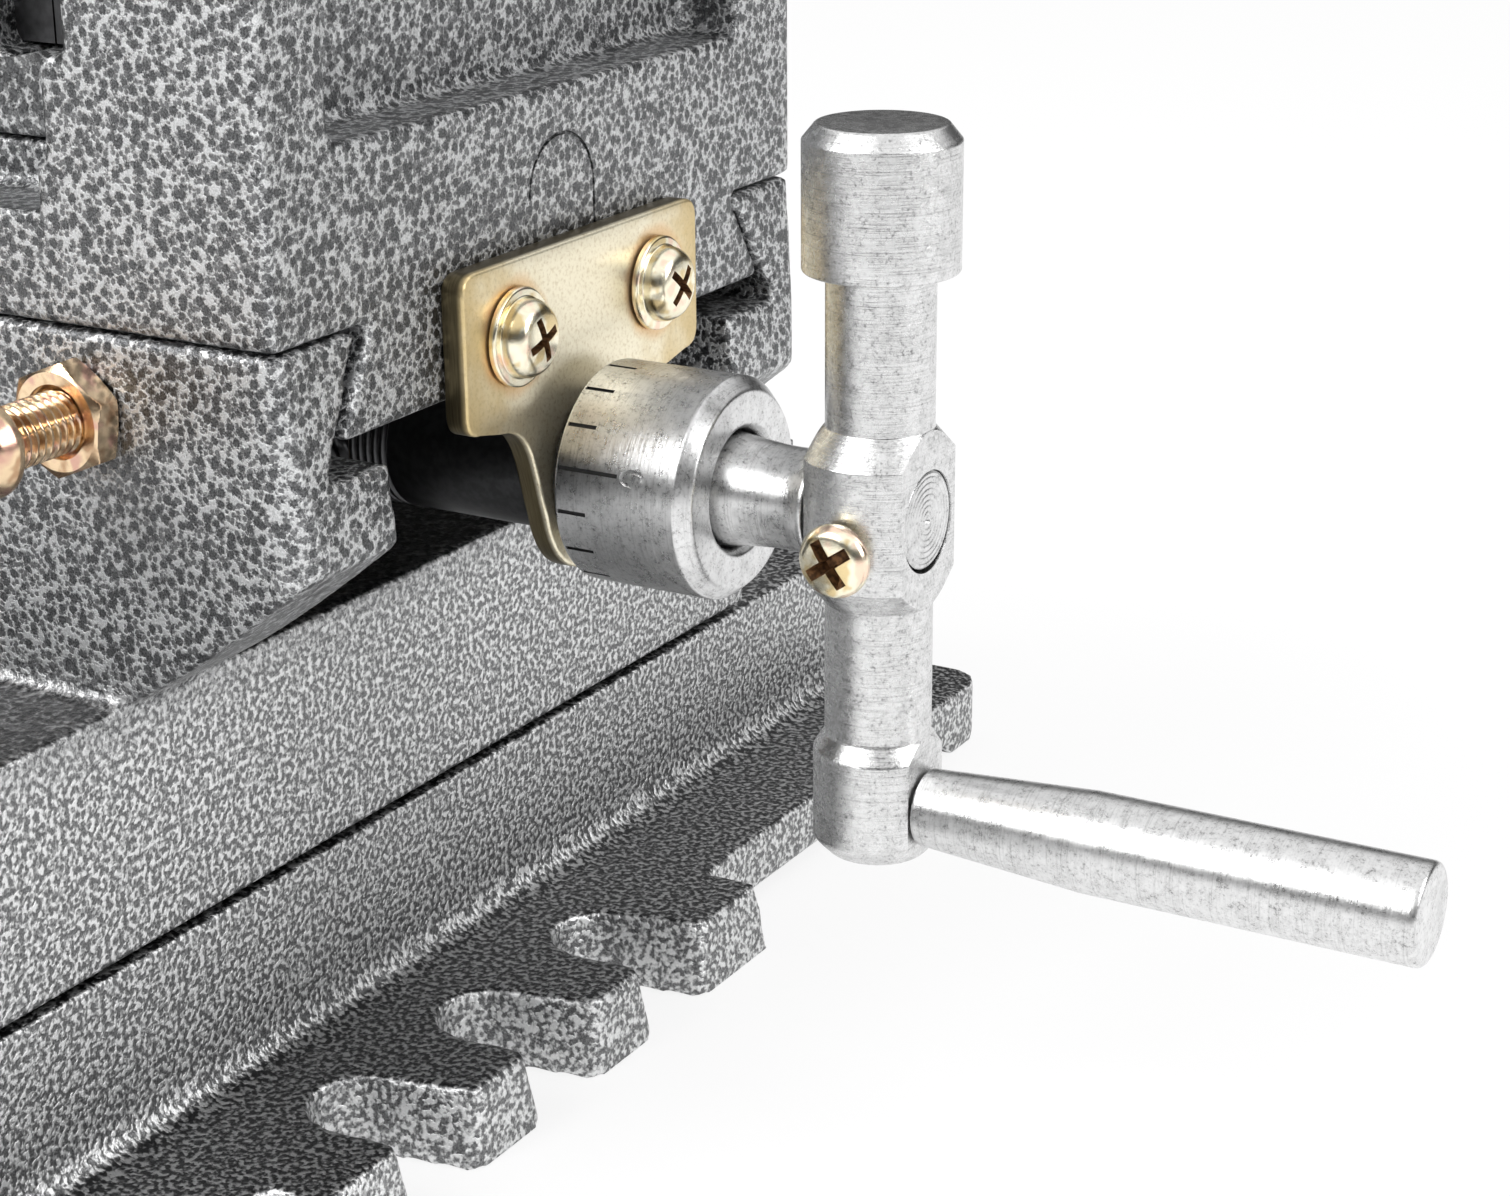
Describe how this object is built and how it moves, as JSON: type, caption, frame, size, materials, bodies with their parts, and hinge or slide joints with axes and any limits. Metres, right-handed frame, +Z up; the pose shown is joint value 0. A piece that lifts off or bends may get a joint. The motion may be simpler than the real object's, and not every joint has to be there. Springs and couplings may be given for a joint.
{
  "type": "cross slide vise",
  "caption": "Compound slide vise with a slotted base, two dovetail feeds with dial and crank, and a screw-driven jaw closing on a fixed jaw.",
  "frame": {"origin": "middle of the base's underside, on the middle rib, where the vise rests on a drill or mill table", "axes": "+Z up; +X along the cross screw towards its crank; +Y along the base, away from the base crank"},
  "size_m": [0.435, 0.4325, 0.1818],
  "materials": {
    "hammertone_casting": "grey hammertone paint, dark grey patches in a fine silver network",
    "turned_steel": "bright satin steel with fine turning marks",
    "dark_steel": "blackened steel with an oily film",
    "yellow_zinc": "pale yellow passivated zinc plating on steel, olive brown on sawn edges",
    "copper_zinc": "copper gold passivated plating on steel",
    "bronze": "machined bronze"
  },
  "bodies": {
    "base": {"base": "hammertone_casting", "base_bracket_plate": "yellow_zinc", "base_bracket_screw_1": "yellow_zinc", "base_bracket_screw_2": "yellow_zinc", "base_thrust_washer": "dark_steel"},
    "saddle": {"saddle": "hammertone_casting", "cross_feed_nut": "bronze", "base_feed_nut": "bronze", "cross_nut_screw_1": "dark_steel", "cross_nut_screw_2": "dark_steel", "base_nut_screw_1": "dark_steel", "base_nut_screw_2": "dark_steel", "cross_gib": "dark_steel", "base_gib": "dark_steel", "cross_gib_1_screw": "copper_zinc", "cross_gib_1_lock_nut": "copper_zinc", "cross_gib_2_screw": "copper_zinc", "cross_gib_2_lock_nut": "copper_zinc", "cross_gib_3_screw": "copper_zinc", "cross_gib_3_lock_nut": "copper_zinc", "base_gib_1_screw": "copper_zinc", "base_gib_1_lock_nut": "copper_zinc", "base_gib_2_screw": "copper_zinc", "base_gib_2_lock_nut": "copper_zinc", "base_gib_3_screw": "copper_zinc", "base_gib_3_lock_nut": "copper_zinc"},
    "vise": {"vise_body": "hammertone_casting", "cross_bracket_plate": "yellow_zinc", "cross_bracket_screw_1": "yellow_zinc", "cross_bracket_screw_2": "yellow_zinc", "cross_thrust_washer": "dark_steel", "fixed_jaw_plate": "dark_steel", "fixed_plate_screw_1": "dark_steel", "fixed_plate_screw_2": "dark_steel", "spindle_nut": "bronze"},
    "cross_crank": {"cross_lead_screw": "dark_steel", "cross_crank": "turned_steel", "cross_set_screw": "yellow_zinc", "cross_handle_stud": "turned_steel"},
    "cross_dial": {"cross_dial": "turned_steel"},
    "cross_handle": {"cross_handle": "turned_steel"},
    "base_crank": {"base_lead_screw": "dark_steel", "base_crank": "turned_steel", "base_set_screw": "yellow_zinc", "base_handle_stud": "turned_steel"},
    "base_dial": {"base_dial": "turned_steel"},
    "base_handle": {"base_handle": "turned_steel"},
    "jaw": {"movable_jaw": "hammertone_casting", "movable_jaw_plate": "dark_steel", "movable_plate_screw_1": "dark_steel", "movable_plate_screw_2": "dark_steel", "keeper_plate": "dark_steel", "keeper_screw_1": "dark_steel", "keeper_screw_2": "dark_steel", "spindle_retainer": "dark_steel", "retainer_screw_1": "dark_steel", "retainer_screw_2": "dark_steel"},
    "spindle": {"clamp_spindle": "turned_steel"},
    "bar": {"clamp_bar": "turned_steel", "bar_knob": "turned_steel"}
  },
  "joints": [
    {"name": "base_feed", "type": "slide", "parent": "base", "child": "saddle", "axis": [0, 1, 0], "range_m": [-0.06, 0.039]},
    {"name": "base_crank_turn", "type": "hinge", "parent": "base", "child": "base_crank", "pos_m": [0, -0.2022, 0.0488], "axis": [0, -1, 0], "range_deg": [-7202, 4682]},
    {"name": "base_dial_turn", "type": "hinge", "parent": "base_crank", "child": "base_dial", "pos_m": [0, -0.1722, 0.0488], "axis": [0, -1, 0], "continuous": true},
    {"name": "base_handle_spin", "type": "hinge", "parent": "base_crank", "child": "base_handle", "pos_m": [0, -0.2435, 0.0095], "axis": [0, -1, 0], "continuous": true},
    {"name": "cross_feed", "type": "slide", "parent": "saddle", "child": "vise", "axis": [1, 0, 0], "range_m": [-0.027, 0.069]},
    {"name": "cross_crank_turn", "type": "hinge", "parent": "vise", "child": "cross_crank", "pos_m": [0.1347, 0.011, 0.0908], "axis": [1, 0, 0], "range_deg": [-3242, 8282]},
    {"name": "cross_dial_turn", "type": "hinge", "parent": "cross_crank", "child": "cross_dial", "pos_m": [0.1047, 0.011, 0.0908], "axis": [1, 0, 0], "continuous": true},
    {"name": "cross_handle_spin", "type": "hinge", "parent": "cross_crank", "child": "cross_handle", "pos_m": [0.176, 0.011, 0.0515], "axis": [1, 0, 0], "continuous": true},
    {"name": "jaw_slide", "type": "slide", "parent": "vise", "child": "jaw", "axis": [-1, 0, 0], "range_m": [0, 0.125]},
    {"name": "spindle_turn", "type": "hinge", "parent": "jaw", "child": "spindle", "pos_m": [-0.1, 0.011, 0.1568], "axis": [-1, 0, 0], "range_deg": [0, 11252]},
    {"name": "bar_slide", "type": "slide", "parent": "spindle", "child": "bar", "axis": [0, 1, 0], "range_m": [-0.05, 0.05]}
  ],
  "couplings": [
    {"joint": "base_crank_turn", "follows": "base_feed", "rad_per_m": 2094.4},
    {"joint": "cross_crank_turn", "follows": "cross_feed", "rad_per_m": 2094.4},
    {"joint": "spindle_turn", "follows": "jaw_slide", "rad_per_m": 1570.8}
  ]
}
